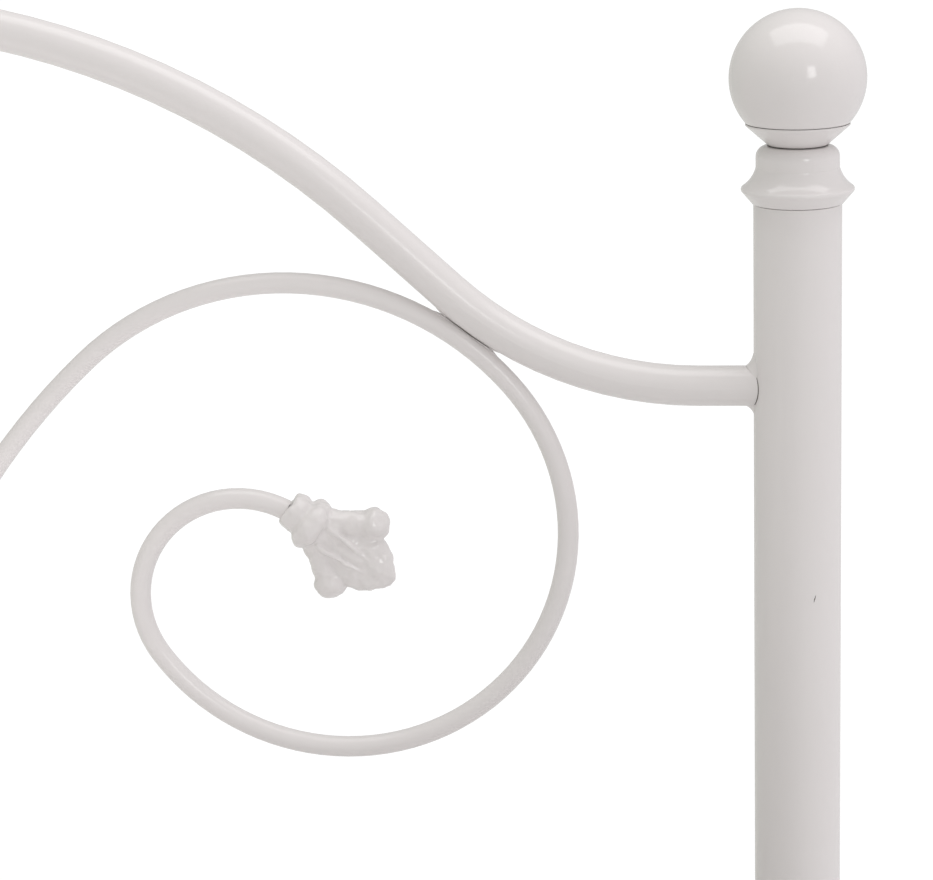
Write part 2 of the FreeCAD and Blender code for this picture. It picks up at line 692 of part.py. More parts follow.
def saddle_washer(z):
    """Curved on one side to sit on the right rear post."""
    disc = cylinder(WASHER_R, WASHER_T + POST_R, V(HALF_L, HALF_W, z), V(1, 0, 0))
    disc = disc.cut(cylinder(POST_R, 4 * WASHER_R, V(HALF_L, HALF_W, z - 2 * WASHER_R)))
    return disc.cut(cylinder(BOLT_R + FIT, 4 * POST_R, V(HALF_L, HALF_W, z), V(1, 0, 0)))


def panel_bolt(z):
    """From outside the right rear post, through it, into the back's rail."""
    head = HALF_L + POST_R + WASHER_T
    return bolt(2 * POST_R + WASHER_T + INSERT_L, V(head, HALF_W, z), V(-1, 0, 0))


def rail_insert(z):
    """The threaded plug inside the back's rail, at the right-hand post."""
    start = HALF_L - POST_R - WELD_GAP
    body = cylinder(RAIL_R - RAIL_WALL - WELD_GAP, INSERT_L, V(start, HALF_W, z), V(-1, 0, 0))
    body = body.cut(cylinder(POST_R + WELD_GAP, 4 * RAIL_R, V(HALF_L, HALF_W, z - 2 * RAIL_R)))
    return body.cut(cylinder(BOLT_R + FIT / 2, 2 * INSERT_L, V(start, HALF_W, z), V(-1, 0, 0)))


def beam_bolt():
    """Through the right arm's lower rail into the end of the beam."""
    return bolt(2 * RAIL_R + INSERT_L, V(HALF_L + RAIL_R + WELD_GAP, 0, LOWER_RAIL_Z), V(-1, 0, 0))


# ---------------------------------------------------------------- the whole bed

def heart(foot, scale, leaf_size):
    """The right-hand scroll of a heart and its leaf."""
    path = scroll_path(foot, scale, foot - MID_RAIL_Z)
    return scroll(path), leaf(path, leaf_size)


def make_arm(side):
    name = "right" if side > 0 else "left"
    rear_scroll, _ = heart(ARM_FOOT, ARM_SCALE, ARM_SCALE)
    lower = straight_rail(HALF_W, LOWER_RAIL_Z)
    lower = lower.cut(cylinder(BOLT_R + FIT, 4 * RAIL_R, V(0, -2 * RAIL_R, LOWER_RAIL_Z), V(0, 1, 0)))
    pieces = {
        "arm_top_rail": coped(ARM_TOP.tube(RAIL_R, RAIL_WALL), HALF_W),
        "arm_mid_rail": straight_rail(HALF_W, MID_RAIL_Z),
        "arm_lower_rail": lower,
        "arm_rear_scroll": rear_scroll,
        "arm_front_scroll": mirrored(rear_scroll),
        "arm_spindles": Part.makeCompound(spindles(HALF_W)),
    }
    return {name + "_" + key: to_arm(shape, side) for key, shape in pieces.items()}


def arm_leaves():
    _, casting = heart(ARM_FOOT, ARM_SCALE, ARM_SCALE)
    return [to_arm(c, side) for side in (-1, 1) for c in (casting, mirrored(casting))]


def arm_welds():
    beads = []
    for side in (-1, 1):
        for z in (TOP_RAIL_Z, MID_RAIL_Z, LOWER_RAIL_Z):
            beads += [to_arm(weld_bead(HALF_W, z, end), side) for end in (-1, 1)]
    return beads


def clasps():
    """Bands at the foot of every heart, and one where the middle heart parts."""
    top = CLASP_STEP + CLASP_H
    bands = [to_arm(clasp(), side) for side in (-1, 1)]
    bands += [to_back(clasp(), k * HEART_AT) for k in (-1, 0, 1)]
    return bands + [to_back(moved(clasp(), V(0, 0, CENTRE_FOOT - top - MID_RAIL_Z - RAIL_R)))]


def centre_rings():
    """Rings between the stem of the middle heart and the scrolls beside it."""
    widest = widest_point(scroll_path(BACK_FOOT, BACK_SCALE).wire())
    inner = HEART_AT - widest.x - ROD_R - WELD_GAP
    stem = 2 * ROD_R + 2 * WELD_GAP
    radius = (inner - stem) / 2 - ROD_R
    return [Part.makeTorus(radius, ROD_R, V(s * (inner + stem) / 2, 0, widest.z), V(0, 1, 0)) for s in (-1, 1)]


def make_back():
    outer, casting = heart(BACK_FOOT, BACK_SCALE, BACK_SCALE)
    middle, small = heart(CENTRE_FOOT, CENTRE_SCALE, CENTRE_LEAF_SCALE)
    pair = [casting, mirrored(casting)]
    return {
        "back_top_rail": to_back(coped(BACK_TOP.tube(RAIL_R, RAIL_WALL), HALF_L)),
        "back_mid_rail": to_back(straight_rail(HALF_L, MID_RAIL_Z)),
        "back_lower_rail": to_back(straight_rail(HALF_L, LOWER_RAIL_Z)),
        "back_spindles": to_back(Part.makeCompound(spindles(HALF_L))),
        "back_right_outer_scroll": to_back(outer, HEART_AT),
        "back_right_inner_scroll": to_back(mirrored(outer), HEART_AT),
        "back_left_inner_scroll": to_back(outer, -HEART_AT),
        "back_left_outer_scroll": to_back(mirrored(outer), -HEART_AT),
        "back_leaves": Part.makeCompound([to_back(c, s * HEART_AT) for s in (-1, 1) for c in pair]),
        "back_centre_scrolls": to_back(Part.makeCompound([middle, mirrored(middle)])),
        "back_centre_leaves": to_back(Part.makeCompound([small, mirrored(small)])),
        "back_rings": to_back(Part.makeCompound(centre_rings())),
    }


def make_posts():
    pieces = {}
    at_top, at_foot = [], []
    for name, x, y in corner_posts():
        pieces[name] = post(x, y)
        corner = name.replace("_post", "")
        seat_z = POST_TOP + SEAM + COLLAR_H + SEAM
        pieces["finial_ball_" + corner] = moved(ball(), V(x, y, seat_z + SEAT_H + SEAM))
        pieces["post_collar_" + corner] = moved(collar(), V(x, y, POST_TOP))
        at_top.append(V(x, y, POST_TOP))
        at_foot.append(V(x, y, 0))
    seat_up = V(0, 0, 2 * SEAM + COLLAR_H)
    pieces["finial_seats"] = Part.makeCompound([moved(seat(), p + seat_up) for p in at_top])
    pieces["finial_studs"] = Part.makeCompound([moved(stud(), p) for p in at_top])
    pieces["post_top_plugs"] = Part.makeCompound([moved(top_plug(), p) for p in at_top])
    pieces["post_foot_glides"] = Part.makeCompound([moved(foot_glide(), p) for p in at_foot])
    return pieces


def make_deck():
    places = slat_places()
    both = [slat_cap(), slat_cap().mirror(ORIGIN, V(0, 1, 0))]
    screws = [slat_screw(), slat_screw().mirror(ORIGIN, V(0, 1, 0))]
    corners = [(x, y) for x in (-1, 1) for y in (-1, 1)]
    return {
        "front_side_rail": side_rail(-1),
        "rear_side_rail": side_rail(1),
        "deck_slats": Part.makeCompound([moved(slat(), V(x, 0, 0)) for x in places]),
        "slat_end_caps": Part.makeCompound([moved(c, V(x, 0, 0)) for x in places for c in both]),
        "slat_screws": Part.makeCompound([moved(s, V(x, 0, 0)) for x in places for s in screws]),
        "centre_beam": centre_beam(),
        "support_legs": Part.makeCompound([support_leg(s * LEG_AT) for s in (-1, 1)]),
        "leg_plugs": Part.makeCompound([leg_plug(s * LEG_AT) for s in (-1, 1)]),
        "left_leveller": leveller(-LEG_AT),
        "right_leveller": leveller(LEG_AT),
        "corner_brackets": Part.makeCompound([bracket(x, y) for x, y in corners]),
        "deck_bolts": Part.makeCompound([at_corner(deck_bolt(b), x, y) for x, y in corners
                                         for b in BRACKET_BOLTS]),
        "deck_nuts": Part.makeCompound([at_corner(deck_nut(b), x, y) for x, y in corners
                                        for b in BRACKET_BOLTS]),
    }


def make_fittings():
    heights = (TOP_RAIL_Z, MID_RAIL_Z, LOWER_RAIL_Z)
    ends = (-1, 1)
    panel = [at_corner(panel_bolt(z), x, 1) for x in ends for z in heights]
    beam = [at_corner(beam_bolt(), x, 1) for x in ends]
    return {
        "frame_bolts": Part.makeCompound(panel + beam),
        "saddle_washers": Part.makeCompound([at_corner(saddle_washer(z), x, 1) for x in ends
                                             for z in heights]),
        "rail_inserts": Part.makeCompound([at_corner(rail_insert(z), x, 1) for x in ends
                                           for z in heights]),
        "arm_weld_beads": Part.makeCompound(arm_welds()),
        "arm_leaves": Part.makeCompound(arm_leaves()),
        "scroll_clasps": Part.makeCompound(clasps()),
    }


def main():
    os.makedirs("parts", exist_ok=True)
    pieces = {}
    for group in (make_posts(), make_arm(-1), make_arm(1), make_back(), make_deck(), make_fittings()):
        pieces.update(group)
    for name, shape in sorted(pieces.items()):
        shape.exportStep("parts/" + name + ".step")


main()
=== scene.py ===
import json
from math import cos, pi, radians, sin, sqrt

import bmesh
import bpy
from mathutils import Matrix, Vector, noise
from mathutils.bvhtree import BVHTree


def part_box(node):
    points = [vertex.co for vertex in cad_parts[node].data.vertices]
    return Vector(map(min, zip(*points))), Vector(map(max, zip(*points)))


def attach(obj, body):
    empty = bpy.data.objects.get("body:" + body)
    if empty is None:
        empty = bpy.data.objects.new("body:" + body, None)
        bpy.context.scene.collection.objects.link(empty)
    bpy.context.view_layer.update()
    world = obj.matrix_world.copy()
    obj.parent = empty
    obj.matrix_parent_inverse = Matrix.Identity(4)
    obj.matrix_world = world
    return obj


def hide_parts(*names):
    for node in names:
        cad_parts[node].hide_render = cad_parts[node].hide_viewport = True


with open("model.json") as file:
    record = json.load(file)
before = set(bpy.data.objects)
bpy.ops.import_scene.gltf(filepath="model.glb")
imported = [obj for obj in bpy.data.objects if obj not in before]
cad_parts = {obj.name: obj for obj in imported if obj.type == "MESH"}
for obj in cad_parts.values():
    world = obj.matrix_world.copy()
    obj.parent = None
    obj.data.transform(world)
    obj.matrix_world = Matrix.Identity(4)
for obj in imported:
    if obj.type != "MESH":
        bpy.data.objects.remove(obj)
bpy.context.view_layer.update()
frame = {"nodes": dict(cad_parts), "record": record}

NODES = frame["nodes"]
MM = 0.001
FRAME_BODY = "frame"

# The right arm's front post and its finial
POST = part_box("right_front_post")
POST_AT = (POST[0] + POST[1]) / 2
POST_R = (POST[1].x - POST[0].x) / 2
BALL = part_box("finial_ball_right_front")
BALL_R = (BALL[1].x - BALL[0].x) / 2
BALL_MIDDLE = Vector((POST_AT.x, POST_AT.y, BALL[1].z - BALL_R))

# Camera, in metres from the middle of that ball and in degrees; it looks from inside the bed
CAMERA_BACK = 1.6828
CAMERA_LEFT = 0.0069
CAMERA_UP = 0.2223
CAMERA_YAW = 5.51
CAMERA_PITCH = 13.545
CAMERA_ROLL = -1.32
LENS = 130.65

# A scroll's arcs, as (radius, turn in degrees), from the foot of the heart to the casting
SCROLL = ((383.0, 47.2), (153.0, 92.0), (118.4, 186.0), (53.6, 153.0))
LEAF_TILT = 8.6            # degrees that a casting turns on from its rod's end
LEAF_SHIFT = (2.3, 1.7)    # how far it sits along its axis, and to the outside of the curl
CENTRE_LEAF_SCALE = 0.72


# ---------------------------------------------------------------- meshes

def closed_mesh(name, verts, faces):
    """A mesh whose faces all look outward."""
    mesh = bpy.data.meshes.new(name)
    mesh.from_pydata([tuple(v) for v in verts], [], faces)
    mesh.validate()
    shape = bmesh.new()
    shape.from_mesh(mesh)
    bmesh.ops.recalc_face_normals(shape, faces=shape.faces)
    shape.to_mesh(mesh)
    shape.free()
    return mesh


def add_object(name, data):
    made = bpy.data.objects.new(name, data)
    bpy.context.collection.objects.link(made)
    return made


def new_piece(name, shell, material, replaces=()):
    """A smooth mesh that rides on the bed's frame, from a shell in metres."""
    mesh = closed_mesh(name, shell.verts, shell.faces)
    mesh.polygons.foreach_set("use_smooth", [True] * len(mesh.polygons))
    piece = add_object(name, mesh)
    mesh.materials.append(material)
    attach(piece, FRAME_BODY)
    if replaces:
        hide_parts(*replaces)


def ring_angles(count):
    return [2 * pi * k / count for k in range(count)]


class Shell:
    """Collects points and faces for one mesh."""

    def __init__(self):
        self.verts, self.faces = [], []

    def grid(self, rows, caps=True):
        """Joins rings of points."""
        start, wide = len(self.verts), len(rows[0])
        for row in rows:
            self.verts += row
        for r in range(len(rows) - 1):
            for c in range(wide):
                a = start + r * wide + c
                b = start + r * wide + (c + 1) % wide
                self.faces.append((a, b, b + wide, a + wide))
        if caps:
            last = start + (len(rows) - 1) * wide
            self.faces.append(tuple(range(start, start + wide)))
            self.faces.append(tuple(range(last, last + wide)))

    def add(self, verts, faces, place):
        start = len(self.verts)
        self.verts += [place @ Vector(v) for v in verts]
        self.faces += [tuple(i + start for i in f) for f in faces]


# ---------------------------------------------------------------- cast leaf

RING_SIDES = 48
FIRST_RING = (2.9, 10.3, 5.3)      # middle, radius and half length of the small bead
SECOND_RING = (12.4, 14.0, 6.0)
NECK = (9.2, 17.0, 31.0)           # radius of the core, where it starts to taper, and its end
CURL_FROM = 11.0
CURL_BALL = (19.6, 38.4, 8.6)      # out, along, radius
CURL_RADII = (7.8, 6.9)
SHIELD = ((16, 5.0), (22, 9.5), (30, 12.6), (38, 15.0), (45, 16.0), (50, 14.9), (55, 12.3), (59, 8.2),
          (62.5, 4.6), (64.6, 1.9))
SHIELD_THICK = 6.9
SHIELD_SQUARE = 0.72               # below 1 the shield is flatter on its faces than an ellipse
RIDGE_ENDS = ((5.2, 20.0, 7.0), (4.8, 37.0, 7.3), (1.2, 58.0, 4.3))     # out, along, lift
RIDGE_R = 1.45
RIB = ((18, 3.6), (28, 5.2), (38, 5.6), (46, 5.2), (54, 3.8), (60, 2.4), (63, 1.4))
RIB_LIFT = 1.38                    # rib's thickness over its width
LEAF_VOXEL = 0.65
LEAF_SOFTEN = 7                    # rounds of smoothing that blend the casting's joints
LUMPS = ((0.9, 0.16), (0.45, 0.3), (0.03, 0.8))    # height in millimetres, and frequency


def smooth_outline(points, count):
    """Evenly spaced stations through (station, size) points, with rounded joints."""
    low, high = points[0][0], points[-1][0]
    stations = []
    for k in range(count + 1):
        at = low + (high - low) * k / count
        i = max(j for j, p in enumerate(points[:-1]) if p[0] <= at)
        (z0, w0), (z1, w1) = points[i], points[i + 1]
        before = points[i - 1] if i else points[i]
        after = points[i + 2] if i + 2 < len(points) else points[i + 1]
        s0 = (w1 - before[1]) / (z1 - before[0])
        s1 = (after[1] - w0) / (after[0] - z0)
        t, span = (at - z0) / (z1 - z0), z1 - z0
        size = ((2 * t**3 - 3 * t**2 + 1) * w0 + (t**3 - 2 * t**2 + t) * span * s0
                + (3 * t**2 - 2 * t**3) * w1 + (t**3 - t**2) * span * s1)
        stations.append((at, max(size, 0.3)))
    return stations


def ring_row(z, wide, thick):
    return [Vector((wide * cos(a), thick * sin(a), z)) for a in ring_angles(RING_SIDES)]


def bead_rows(middle, radius, half):
    """A rounded collar bead round the casting's axis."""
    rows = []
    for k in range(13):
        a = -pi / 2 + pi * k / 12
        r = NECK[0] - 1 + (radius - NECK[0] + 1) * max(cos(a), 0)
        rows.append(ring_row(middle + half * sin(a), r, r))
    return rows


def curl_rows(side):
    """A tapering arm that ends in a ball, out to one side."""
    out, along, ball = CURL_BALL
    start, end = Vector((0, 0, CURL_FROM)), Vector((side * out, 0, along))
    axis = (end - start).normalized()
    across = Vector((0, 1, 0)).cross(axis)
    reach = (end - start).length
    rows = []
    for k in range(41):
        at = (reach + ball) * k / 40
        r = CURL_RADII[0] + (CURL_RADII[1] - CURL_RADII[0]) * min(at / reach, 1)
        inside = ball**2 - (at - reach) ** 2
        if inside > r * r or at > reach:
            r = sqrt(max(inside, 0.01))
        rows.append([start + axis * at + (across * cos(a) + Vector((0, 1, 0)) * sin(a)) * r
                     for a in ring_angles(RING_SIDES)])
    return rows


def shield_rows():
    """The broad pointed petal, domed front and back."""
    rows = []
    for z, w in smooth_outline(SHIELD, 40):
        thick = min(SHIELD_THICK, 0.62 * w + 0.4)
        row = ring_row(z, 1, 1)
        rows.append([Vector((w * bulge(v.x), thick * bulge(v.y), z)) for v in row])
    return rows


def bulge(part):
    return (1 if part >= 0 else -1) * abs(part) ** SHIELD_SQUARE


def rib_rows():
    return [ring_row(z, w, w * RIB_LIFT) for z, w in smooth_outline(RIB, 36)]


def ridge_rows(side, face):
    """One of the two low ridges that run together at the tip, on one face."""
    (x0, z0, y0), (x1, z1, y1), (x2, z2, y2) = RIDGE_ENDS
    spans = ((x0, 2 * x1 - (x0 + x2) / 2, x2), (y0, 2 * y1 - (y0 + y2) / 2, y2), (z0, z1, z2))
    rows = []
    for k in range(25):
        t = k / 24
        spot = [a * (1 - t) ** 2 + 2 * b * t * (1 - t) + c * t * t for a, b, c in spans]
        r = RIDGE_R * (1 - 0.45 * t) * (1 + 0.25 * sin(9 * t + side))
        middle = Vector((side * spot[0], face * spot[1], spot[2]))
        rows.append([middle + Vector((r * cos(a), r * sin(a), 0)) for a in ring_angles(16)])
    return rows


def leaf_mesh():
    """One casting in millimetres, with its axis along +Z from the rod's end, as points and faces."""
    shell = Shell()
    shell.grid([ring_row(z, r, r) for z, r in ((1.5, NECK[0]), (NECK[1], NECK[0]), (NECK[2], 4.0))])
    shell.grid(bead_rows(*FIRST_RING))
    shell.grid(bead_rows(*SECOND_RING))
    shell.grid(curl_rows(-1))
    shell.grid(curl_rows(1))
    shell.grid(shield_rows())
    shell.grid(rib_rows())
    for side in (-1, 1):
        for face in (-1, 1):
            shell.grid(ridge_rows(side, face))
    source = add_object("leaf_source", closed_mesh("leaf_source", shell.verts, shell.faces))
    remesh = source.modifiers.new("remesh", "REMESH")
    remesh.mode = "VOXEL"
    remesh.voxel_size = LEAF_VOXEL
    soften = source.modifiers.new("soften", "SMOOTH")
    soften.factor = 0.5
    soften.iterations = LEAF_SOFTEN
    graph = bpy.context.evaluated_depsgraph_get()
    made = source.evaluated_get(graph).to_mesh()
    verts = [v.co + v.normal * cast_lumps(v.co) for v in made.vertices]
    faces = [tuple(p.vertices) for p in made.polygons]
    bpy.data.objects.remove(source)
    return verts, faces


def cast_lumps(at):
    """The slight unevenness of a cast surface, in millimetres."""
    return sum(height * noise.noise(at * often) for height, often in LUMPS)


class Scroll:
    """Where a scroll's rod runs, worked out from its node's box: u is along its panel."""

    def __init__(self, name, along, side, centre=None):
        low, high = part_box(name)
        self.panel = "back" if name.startswith("back") else name.split("_")[0] + "_arm"
        self.along = along
        self.side = side
        if centre is not None:
            low[along] = centre if side > 0 else low[along]
            high[along] = high[along] if side > 0 else centre
        self.normal = 1 - along
        self.rod_r = (high[self.normal] - low[self.normal]) / 2
        self.plane = (high[self.normal] + low[self.normal]) / 2
        self.thick = Vector((0, 0, 0))
        self.thick[self.normal] = 1
        reach, top = self.unit_size()
        self.scale = (high[along] - low[along] - 2 * self.rod_r) / reach
        self.start_u = (low[along] if side > 0 else high[along]) + side * self.rod_r
        self.foot = high.z - self.rod_r - top * self.scale

    @staticmethod
    def unit_points(step=3.0):
        """Points and headings along the arcs, with the foot at (0, 0)."""
        u, z, heading = 0.0, 0.0, pi / 2
        points = [(u, z, heading)]
        for radius, turn in SCROLL:
            cu, cz = u + radius * sin(heading), z - radius * cos(heading)
            count = max(2, round(turn / step))
            for k in range(1, count + 1):
                a = heading - radians(turn) * k / count
                points.append((cu - radius * sin(a), cz + radius * cos(a), a))
            u, z, heading = points[-1]
        return points

    @classmethod
    def unit_size(cls):
        points = cls.unit_points(0.25)
        return max(p[0] for p in points), max(p[1] for p in points)

    def place(self, u, z):
        """A point in metres from a panel distance and a height."""
        at = Vector((0, 0, z))
        at[self.along] = u
        at[self.normal] = self.plane
        return at

    def end(self):
        """The rod's end, and the direction that its casting points in."""
        u, z, heading = self.unit_points(0.25)[-1]
        at = self.place(self.start_u + self.side * u * self.scale, self.foot + z * self.scale)
        tilted = heading - radians(LEAF_TILT)
        out, aside = Vector((0, 0, sin(tilted))), Vector((0, 0, cos(tilted)))
        out[self.along] = self.side * cos(tilted)
        aside[self.along] = -self.side * sin(tilted)
        return at, out, aside

    def points(self, step):
        return [self.place(self.start_u + self.side * u * self.scale, self.foot + z * self.scale)
                for u, z, _ in self.unit_points(step)]


def leaf_place(scroll, size):
    at, out, aside = scroll.end()
    at = at + (out * LEAF_SHIFT[0] + aside * LEAF_SHIFT[1]) * size * MM
    turn = Matrix((scroll.thick.cross(out), scroll.thick, out)).transposed().to_4x4()
    return Matrix.Translation(at) @ turn @ Matrix.Scale(size * MM, 4)


def make_leaves(material):
    verts, faces = leaf_mesh()
    hearts = {
        "arm_leaves": [(s, s.scale / MM) for s in ARM_SCROLLS],
        "back_leaves": [(s, s.scale / MM) for s in BACK_SCROLLS],
        "back_centre_leaves": [(s, CENTRE_LEAF_SCALE) for s in CENTRE_SCROLLS],
    }
    for name, scrolls in hearts.items():
        shell = Shell()
        for scroll, size in scrolls:
            shell.add(verts, faces, leaf_place(scroll, size))
        new_piece(name + "_cast", shell, material, [name])


def bed_scrolls():
    """The arms', the back's and the middle heart's scrolls."""
    arms = [Scroll(end + "_arm_" + place + "_scroll", 1, side) for end in ("left", "right")
            for place, side in (("front", -1), ("rear", 1))]
    back = []
    for half, middle in (("left", -1), ("right", 1)):
        for place in ("inner", "outer"):
            side = middle if place == "outer" else -middle
            back.append(Scroll("back_" + half + "_" + place + "_scroll", 0, side))
    centre = [Scroll("back_centre_scrolls", 0, side, 0.0) for side in (-1, 1)]
    return arms, back, centre


ARM_SCROLLS, BACK_SCROLLS, CENTRE_SCROLLS = bed_scrolls()


# ---------------------------------------------------------------- welds

WELD_ABOVE = (4.0, 6.8, radians(56))   # along the rail, up the post (mm), and how far round the rail
WELD_BELOW = (4.0, 4.2, radians(34))
WELD_STEPS = 26
WELD_BURY = 0.5
SPINDLE_WELD = (1.3, 1.5)          # up the rod, and along the rail
BRACKET_BEAD = 2.2                 # half width of the bead that joins a bracket to its post
CONTACT_GAP = 2.6                  # a wedge up to this wide is filled, in millimetres
NOTCH_GAP = 1.1                    # and this wide where the filling starts to open in a notch
CONTACT_THICK = 2.1                # half of the filling's thickness
CONTACT_BURY = 0.5                 # how far the filling reaches into the rod and the rail


def fillet_row(toe, corner, root, inside, steps=8):
    """Across a bead from its toe to its root, hollow towards the corner, and back underneath."""
    row = []
    for k in range(steps + 1):
        t = k / steps
        dip = corner * 0.45 + (toe + root) * 0.275
        row.append(toe * (1 - t) ** 2 + dip * (2 * t * (1 - t)) + root * t * t)
    return row + [root + inside, corner + inside * 2, toe + inside]


def rail_weld(shell, post_at, post_r, rail_z, rail_r, side):
    """Beads above and below a rail that meets a post. side: which way along Y the rail lies."""
    for up, (run, rise, spread) in ((1, WELD_ABOVE), (-1, WELD_BELOW)):
        rows = []
        for k in range(WELD_STEPS + 1):
            a = spread * (2 * k / WELD_STEPS - 1)
            fade = max(cos(a / spread * pi / 2), 0.02) ** 0.8
            ripple = 1 + 0.05 * noise.noise(Vector((k * 0.6, rail_z * 90, post_at.x * 7 + up)))
            out = Vector((sin(a), 0, up * cos(a)))

            def on_post(radial):
                away = sqrt(post_r**2 - (radial * out.x) ** 2)
                return Vector((post_at.x + radial * out.x, post_at.y + side * away,
                               rail_z + radial * out.z))

            corner = on_post(rail_r)
            root = on_post(rail_r + rise * MM * fade * ripple)
            toe = corner + Vector((0, side * run * MM * fade * ripple, 0))
            bury = (Vector((0, -side, 0)) - out) * (WELD_BURY * MM)
            rows.append(fillet_row(toe, corner, root, bury))
        shell.grid(rows)


def rod_weld(shell, at, up, rod_r, rail_r, rail_along):
    """A ring of weld where a rod stands on a level rail. up: 1 if the rod rises from it."""
    other = 1 - rail_along
    rise, run = SPINDLE_WELD
    rows = []
    for a in ring_angles(32):

        def on_rail(radial):
            point = Vector((0, 0, 0))
            point[rail_along] = at[rail_along] + radial * cos(a)
            point[other] = at[other] + radial * sin(a)
            point.z = at.z + up * sqrt(max(rail_r**2 - (radial * sin(a)) ** 2, 0))
            return point

        ripple = 1 + 0.12 * noise.noise(Vector((4 * cos(a), 4 * sin(a), at.x * 31 + at.y * 17)))
        corner = on_rail(rod_r)
        root = on_rail(min(rod_r + run * MM * ripple, rail_r * 0.98))
        toe = corner + Vector((0, 0, up * rise * MM * ripple))
        bury = (at - corner) * 0.08
        bury.z = -up * 0.4 * MM
        rows.append(fillet_row(toe, corner, root, bury, 5))
    shell.grid(rows + rows[:1], caps=False)


def bead_along(shell, points, half):
    """A rippled bead along (point, outward) pairs."""
    rows = []
    for k, (at, out) in enumerate(points):
        across = out.cross(Vector((0, 0, 1)))
        end = min(k, len(points) - 1 - k)
        ripple = 1 + 0.09 * sin(k * 2 * pi / 5) + 0.1 * noise.noise(at * 90)
        r = half * MM * min(1, 0.35 + 0.2 * end) * ripple
        rows.append([at + across * (r * cos(a)) + out * (0.75 * r * sin(a)) for a in ring_angles(16)])
    shell.grid(rows)


def contact_stations(scroll, rail):
    """Where a scroll's rod runs beside a rail: (middle of the gap, towards the rail, half the gap)."""
    mesh = NODES[rail].data
    surface = BVHTree.FromPolygons([v.co.copy() for v in mesh.vertices],
                                   [tuple(p.vertices) for p in mesh.polygons])
    stations = []
    for at in scroll.points(0.35):
        near = surface.find_nearest(at)[0]
        gap = (near - at).length - scroll.rod_r
        if gap < CONTACT_GAP * MM:
            towards = (near - at).normalized()
            stations.append((at + towards * (scroll.rod_r + gap / 2), towards, gap / 2))
    return stations


def contact_welds(shell, shade_lines, scroll, rail):
    """Fills the wedges beside a contact, each up to a notch, and paints a thread of shade along the joint
    on both faces.
    """
    stations = contact_stations(scroll, rail)
    if len(stations) < 4:
        return
    sides = {-1: [], 1: []}
    joint = []
    for k, (at, towards, half) in enumerate(stations):
        t = 2 * k / (len(stations) - 1) - 1
        fade, ripple = 0.3 + 0.7 * sqrt(max(1 - t * t, 0.02)), 1 + 0.15 * noise.noise(at * 300)
        wide = CONTACT_THICK * MM * fade * ripple
        notch = half * min(max((2 * half - NOTCH_GAP * MM) / ((CONTACT_GAP - NOTCH_GAP) * MM), 0), 1)
        inner, outer = notch - 0.3 * MM, half + CONTACT_BURY * MM
        for side, rows in sides.items():
            middle = at + towards * (side * (inner + outer) / 2)
            rows.append([middle + towards * ((outer - inner) / 2 * cos(a)) + scroll.thick * (wide * sin(a))
                         for a in ring_angles(20)])
        if notch < 0.25 * half:
            joint.append((at + towards * half * 0.5, wide + 0.08 * MM))
    for rows in sides.values():
        shell.grid(rows)
    # a near-black thread on each face: painted shade along the contact
    for face in (-1, 1):
        outward = scroll.thick * face
        line_along(shade_lines, [(at + outward * out, outward) for at, out in joint], SHADE_LINE_R * 0.9)


def islands(name):
    """Boxes of a node's separate solids."""
    mesh = NODES[name].data
    links = list(range(len(mesh.vertices)))

    def top(i):
        while links[i] != i:
            links[i] = links[links[i]]
            i = links[i]
        return i

    same = {}
    for v in mesh.vertices:
        key = tuple(round(c * 1e6) for c in v.co)
        if key in same:
            links[top(v.index)] = top(same[key])
        same[key] = v.index
    for edge in mesh.edges:
        a, b = top(edge.vertices[0]), top(edge.vertices[1])
        if a != b:
            links[a] = b
    groups = {}
    for v in mesh.vertices:
        groups.setdefault(top(v.index), []).append(v.co)
    return [tuple(Vector([pick(c[i] for c in group) for i in range(3)]) for pick in (min, max))
            for group in groups.values()]


def rail_middle(name):
    low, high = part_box(name)
    return (low + high) / 2, (high.z - low.z) / 2


def arm_welds(shell):
    """Rails to posts, on both arms."""
    for end in ("left", "right"):
        for place, side in (("front", 1), ("rear", -1)):
            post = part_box(end + "_" + place + "_post")
            middle = (post[0] + post[1]) / 2
            for rail in ("mid", "lower"):
                at, rail_r = rail_middle(end + "_arm_" + rail + "_rail")
                rail_weld(shell, middle, POST_R, at.z, rail_r, side)
            top_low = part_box(end + "_arm_top_rail")[0].z
            rail_weld(shell, middle, POST_R, top_low + rail_r, rail_r, side)


def spindle_welds(shell):
    """Spindles to both their rails, and the scrolls' tails to the middle rails."""
    for panel, along in (("left_arm", 1), ("right_arm", 1), ("back", 0)):
        lower, rail_r = rail_middle(panel + "_lower_rail")
        upper, _ = rail_middle(panel + "_mid_rail")
        for low, high in islands(panel + "_spindles"):
            at = (low + high) / 2
            rod_r = (high[1 - along] - low[1 - along]) / 2
            for rail, up in ((lower, 1), (upper, -1)):
                rod_weld(shell, Vector((at.x, at.y, rail.z)), up, rod_r, rail_r, along)
    for scroll in ARM_SCROLLS + BACK_SCROLLS:
        at, rail_r = rail_middle(scroll.panel + "_mid_rail")
        rod_weld(shell, scroll.place(scroll.start_u, at.z), 1, scroll.rod_r, rail_r, scroll.along)


def bracket_welds(shell):
    """The side rails' brackets to their posts."""
    for low, high in islands("corner_brackets"):
        post_x = POST_AT.x if low.x > 0 else -POST_AT.x
        post_y = POST_AT.y if low.y < 0 else -POST_AT.y
        face = high.y if low.y < 0 else low.y
        inward = 1 if low.y < 0 else -1
        away = sqrt(POST_R**2 - (face - post_y) ** 2)
        spot = Vector((post_x - away if low.x > 0 else post_x + away, face, 0))
        out = Vector((-1 if low.x > 0 else 1, inward, 0)).normalized()
        line = [(Vector((spot.x, spot.y, low.z + (high.z - low.z) * (0.04 + 0.92 * k / 59))), out)
                for k in range(60)]
        bead_along(shell, line, BRACKET_BEAD)


